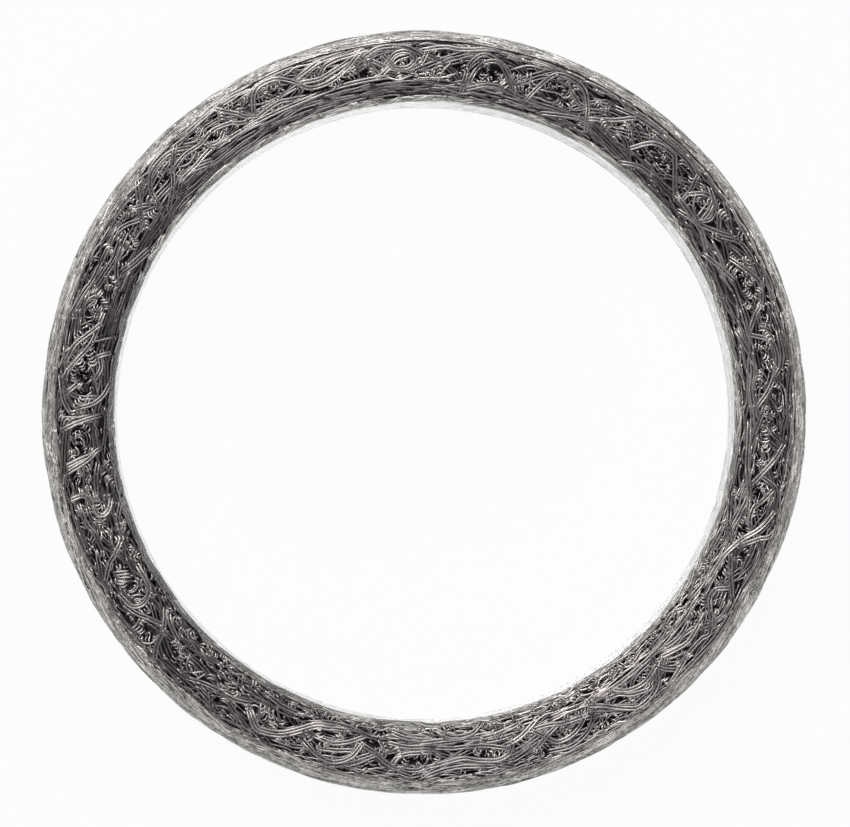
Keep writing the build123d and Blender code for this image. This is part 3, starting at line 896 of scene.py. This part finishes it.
# Short legs that come up where the strands leave a gap, at least a millimetre from one another
gap_level = np.quantile(face.ground[:, 12:-6], 0.22)
gap_combs = []
for place in np.arange(0, 2 * math.pi * face_reference, 0.1):
    bearing = math.degrees(place / face_reference)
    lowest = 31.6 if 195 < bearing < 335 else 33.1
    sooted = 185 < bearing < 248
    centre = np.array([place, random.uniform(lowest, 35.3 if sooted else 36.3)])
    column = int(centre[0] / face.cell) % face.columns
    row = int((centre[1] - face.low) / face.cell)
    clear = all(math.dist(centre, other) > 1.0 for other in gap_combs)
    if clear and face.ground[column, row] < gap_level:
        lean = random.uniform(-40, 30) if sooted else random.uniform(-50, 50) + random.choice((0, 90))
        strokes = random.integers(1, 4) if sooted else random.integers(2, 5)
        comb(centre, lean, int(strokes), random.uniform(0.28, 0.45), 0.34, (0.5, 1.3))
        gap_combs.append(centre)

face_steel = steel("face_wire", (0.13, 0.119, 0.122), (0.68, 0.632, 0.625), 1.0, 0.30, 0.008)
face_surface = flat_face(ring_height - core_face_depth, 1.0)
face_wires = face.press(core_face_depth, face_knee)
first_split = int(len(face_wires) * 0.3)
second_split = int(len(face_wires) * 0.62)
for name, wires, sides in (
    ("face_wire_under", face_wires[:first_split], 5),
    ("face_wire_middle", face_wires[first_split:second_split], 5),
    ("face_wire_over", face_wires[second_split:], 6),
):
    wire_piece(name, wires, face_reference, face_surface, sides, face_steel, soot_and_side_shade=0.7, top=1.2)

# The shoulder and the outer wall
# The same wire, pressed against the die: flattened runs side by side, nearly level round the ring.
wall_length, shoulder_surface = wall(shoulder_profile(12))
wall_wire_depth = 0.36
shoulder_end = 4.2
shoulder_split = 4.3
flat_pitch = 0.34
wrap = Layup(outer_radius, -0.1, wall_length + 0.1)
band(wrap, 0.0, wall_length, 0.25, (10, 50), 0.14, 12.0, (0.2, 0.7), 1.5,
     radius=0.16, flat=0.45, stiff=0.8)


def pressed_knit(layup, low, high, count, half_range, lean_range, tone, node, **more):
    """Slanting legs of loops, flattened side by side into the wall between low and high."""
    around = 2 * math.pi * layup.reference
    for number in range(count):
        along, across = directions(random.uniform(*lean_range) * random.choice((-1, 1)))
        centre = np.array([random.uniform(0, around), random.uniform(low, high)])
        half = random.uniform(*half_range)
        bow = random.uniform(-0.25, 0.25) * half
        for wire in range(int(random.integers(1, 4))):
            middle = centre + across * flat_pitch * wire
            line = smooth_line([middle - along * half, middle + across * bow, middle + along * half])
            line[:, 1] = np.clip(line[:, 1], low, high)
            layup.lay(line, sink=dive(len(line), 0.16, 0.6), tone=random.uniform(*tone), node=node, **more)


pressed_knit(wrap, 0.0, shoulder_end, 980, (0.7, 2.6), (1, 20), (0.08, 1.1), 0.45,
             radius=0.13, flat=0.6, stiff=0.35)
pressed_knit(wrap, shoulder_end, wall_length - 0.1, 480, (1.5, 4.5), (4, 40), (0.3, 0.9), 0.9,
             radius=0.14, flat=0.5, stiff=0.4)
wrap_steel = steel("shoulder_wire", (0.16, 0.155, 0.146), (1.0, 0.972, 0.935), 1.0, 0.33, 0.03, 1.3)


def inside(surface, depth):
    """The same surface, this far under."""
    def deeper(v):
        r, z, normal_r, normal_z = surface(v)
        return r - normal_r * depth, z - normal_z * depth, normal_r, normal_z
    return deeper


# The wires near the face are moved down the shoulder, which leaves a dark crease. It is widest near one
# bearing, and its edge is a little ragged. The shoulder's wires are painted lighter near another bearing,
# as painted light, and painted darker where it turns down into the wall, as painted shade
crease_bearing = math.radians(62)
crease_reach = 2.5
lit_bearing = math.radians(88)
wall_shade_start = 2.6
shoulder_wires = []
outer_wall_wires = []
for line, lifted, radius, tone, *rest in wrap.press(wall_wire_depth, 0.05):
    bearing = line[:, 0] / outer_radius
    crease = 0.42 + 0.32 * np.cos(bearing - crease_bearing) + 0.05 * np.sin(17 * bearing)
    down = line[:, 1] + crease * np.clip(1 - line[:, 1] / crease_reach, 0, 1)
    # Painted light and shade: wires are lighter towards the lit bearing and darker further down the wall.
    painted_light_factor = min(1.2, 1.04 + 0.25 * math.cos(bearing[0] - lit_bearing))
    if line[:, 1].mean() > wall_shade_start:
        painted_light_factor *= 0.8
    layer = shoulder_wires if down.mean() < shoulder_split else outer_wall_wires
    layer.append((np.column_stack([line[:, 0], down]), lifted, radius, tone * painted_light_factor, *rest))
wrap_surface = inside(shoulder_surface, wall_wire_depth)
wire_piece("shoulder_wire", shoulder_wires, outer_radius, wrap_surface, 5, wrap_steel, soot_and_side_shade=0.7)
wire_piece("outer_wall_wire", outer_wall_wires, outer_radius, wrap_surface, 4, wrap_steel, soot_and_side_shade=0.35)

# The bore
# The wire that the pipe slides against, rolled nearly flat and smooth by the die's mandrel.
bore_length, bore_surface = wall(bore_profile())
bore_wire_depth = 0.12
bore_wire_start = 0.85
lining = Layup(bore_radius, -0.1, bore_length + 0.1)
band(lining, bore_wire_start, bore_length, 0.22, (6, 50), 0.12, 12.0, (0.3, 1.0), 1.6,
     radius=0.17, flat=0.1, stiff=0.8)


def mirrored(line):
    """The line run the other way round the ring, as it lies on a wall that faces the axis."""
    return np.column_stack([-line[:, 0], line[:, 1]])


def turned(surface):
    """The same surface with its normals the other way, for a wall that faces the axis."""
    def facing(v):
        r, z, normal_r, normal_z = surface(v)
        return r, z, -normal_r, -normal_z
    return facing


bore_wires = [(mirrored(line), *rest) for line, *rest in lining.press(bore_wire_depth, 0.03)]
bore_steel = steel("bore_wire", (0.86, 0.85, 0.84), (1.0, 0.998, 0.99), 1.0, 0.18, 0.003)
wire_piece("bore_wire", bore_wires, bore_radius, inside(turned(bore_surface), bore_wire_depth), 4,
           bore_steel, soot_and_side_shade=0.1)

# The bevel between the bore and the wire face
# Pressed by the die as the shoulder is, so its wire lies flat and pale there too.
bevel_length = 1.15
bevel_wire_depth = 0.24
bevel_margin = 0.05
edge = Layup(bore_radius, -0.1, bevel_length + 0.1)
band(edge, bevel_margin, bevel_length, 0.25, (6, 30), 0.1, 9.0, (0.0, 0.7), 0.8,
     radius=0.14, flat=0.5, stiff=0.8)
pressed_knit(edge, bevel_margin, bevel_length - bevel_margin, 420, (0.4, 1.8), (2, 25), (0.0, 1.0), 0.4,
             radius=0.12, flat=0.7, stiff=0.4)
bevel_wires = []
for line, lifted, radius, tone, *rest in edge.press(0.3, 0.05):
    bearing = math.degrees(-line[0, 0] / bore_radius) % 360
    # Painted shade: bevel wires at bearings 158 to 250 are painted darker, where less light falls on them.
    soot_and_shade_share = 0.3 if 158 < bearing < 250 else 1.0
    bevel_wires.append((mirrored(line), lifted, radius, tone * soot_and_shade_share, *rest))
bevel_steel = steel("bevel_wire", (0.20, 0.195, 0.188), (1.0, 0.975, 0.95), 1.0, 0.50, 0.02)
wire_piece("bevel_wire", bevel_wires, bore_radius, inside(turned(bore_surface), bevel_wire_depth), 5,
           bevel_steel, soot_and_side_shade=0.5)

# The back face
# Flat, because it stood on the die's floor: the same knit as the front, pressed down further.
back_outer = 37.3
back_depth = 0.55
back = Layup(face_reference, face_inner - 0.2, back_outer + 0.1)
band(back, face_inner, back_outer, 0.25, (20, 60), 0.18, 9.0, (0.1, 0.6), 1.3)
for place in np.arange(0, 2 * math.pi * face_reference, 0.5):
    along = directions(random.uniform(8, 50) * random.choice((-1, 1)))[0]
    centre = np.array([place, random.uniform(31.6, 37.0)])
    half = random.uniform(1.0, 2.6)
    line = smooth_line([centre - along * half, centre + random.normal(0, 0.4, 2), centre + along * half])
    line[:, 1] = np.clip(line[:, 1], face_inner, back_outer)
    for gap in (-0.135, 0.135):
        back.lay(beside(line, gap), sink=dive(len(line), 0.45, 1.2), tone=random.uniform(0.1, 0.65),
                 node=0.5)
wire_piece("back_face_wire", back.press(back_depth, 0.2), face_reference, flat_face(back_depth, -1.0), 5,
           face_steel)

# The floor, the walls of the studio and the light
# A white sheet seen straight from above, bright walls round it and a dimmer ceiling.
sheet_size = 3.0


def studio_white(name, lit_share):
    """White to the camera and in reflections. The rest is a white surface that takes the shadow."""
    material, output = material_graph(name)
    tree = material.node_tree
    maker = Signal(tree, None)
    camera_ray = maker.node("ShaderNodeLightPath", output=0)
    glossy_ray = maker.node("ShaderNodeLightPath", output=3)
    through_ray = maker.node("ShaderNodeLightPath", output=6)
    seen = camera_ray + glossy_ray + through_ray
    white = tree.nodes.new("ShaderNodeEmission")
    paper = tree.nodes.new("ShaderNodeBsdfDiffuse")
    paper.inputs["Color"].default_value = (0.85, 0.85, 0.85, 1.0)
    mix = tree.nodes.new("ShaderNodeMixShader")
    tree.links.new((seen * (1 - lit_share)).socket, mix.inputs[0])
    tree.links.new(paper.outputs[0], mix.inputs[1])
    tree.links.new(white.outputs[0], mix.inputs[2])
    tree.links.new(mix.outputs[0], output.inputs["Surface"])
    return material


bpy.ops.mesh.primitive_circle_add(vertices=96, radius=sheet_size, fill_type="NGON", location=(0, 0, 0))
floor = bpy.context.object
floor.name = "floor"
floor.data.materials.append(studio_white("white_sheet", 0.05))

world = bpy.data.worlds.new("studio")
bpy.context.scene.world = world
world.use_nodes = True
world.node_tree.nodes.clear()
sky = Signal(world.node_tree, None)
direction = sky.node("ShaderNodeTexCoord", output=0)
height = sky.node("ShaderNodeSeparateXYZ", output=2, Vector=direction)
ceiling = 0.10 + height.between(0.5, 0.9) * 0.10 + (1 - height.between(0.0, 0.62)) * 0.9
background = world.node_tree.nodes.new("ShaderNodeBackground")
background.inputs["Color"].default_value = (1.0, 0.995, 0.99, 1.0)
world.node_tree.links.new(ceiling.socket, background.inputs["Strength"])
world_output = world.node_tree.nodes.new("ShaderNodeOutputWorld")
world.node_tree.links.new(background.outputs[0], world_output.inputs["Surface"])


def lamp(name, bearing, elevation, distance, size, power):
    """A square soft light that looks at the ring."""
    light = bpy.data.lights.new(name, "AREA")
    light.shape = "SQUARE"
    light.size = size
    light.energy = power
    lamp_object = bpy.data.objects.new(name, light)
    bpy.context.collection.objects.link(lamp_object)
    a, e = math.radians(bearing), math.radians(elevation)
    toward = Vector((math.cos(a) * math.cos(e), math.sin(a) * math.cos(e), math.sin(e)))
    lamp_object.location = toward * distance
    lamp_object.rotation_mode = "QUATERNION"
    lamp_object.rotation_quaternion = toward.to_track_quat("Z", "Y")


lamp("key", bearing=112, elevation=58, distance=1.2, size=0.6, power=7.0)
lamp("fill", bearing=-72, elevation=58, distance=1.2, size=0.6, power=1.9)

# The camera looks down on the ring from a little below and left of its middle
photo_width = 850
ring_shift_px = (-1.35, -0.8)
ring_radius_px = 382.85
camera_distance = 0.78
camera_tilt = math.radians(1.065)
camera_bearing = math.radians(215)
sensor = 36.0
top_level = ring_height * MM
camera_data = bpy.data.cameras.new("camera")
camera = bpy.data.objects.new("camera", camera_data)
bpy.context.collection.objects.link(camera)
bpy.context.scene.camera = camera
toward = Vector((
    math.sin(camera_tilt) * math.cos(camera_bearing),
    math.sin(camera_tilt) * math.sin(camera_bearing),
    math.cos(camera_tilt),
))
look_at = Vector((0, 0, 0.5 * top_level))
camera.location = look_at + toward * camera_distance
right = Vector((0, 1, 0)).cross(toward).normalized()
upward = toward.cross(right)
camera.rotation_mode = "QUATERNION"
camera.rotation_quaternion = Matrix((right, upward, toward)).transposed().to_quaternion()
camera_data.sensor_width = sensor
camera_data.shift_x = -ring_shift_px[0] / photo_width
camera_data.shift_y = ring_shift_px[1] / photo_width
frame_width = 2 * outer_radius * MM * photo_width / (2 * ring_radius_px)
widest_level = (ring_height - shoulder_length) * MM
camera_data.lens = sensor * (camera_distance - (widest_level - look_at.z)) / frame_width
camera_data.clip_start = 0.05
camera_data.clip_end = 20

scene = bpy.context.scene
scene.view_settings.view_transform = "Standard"
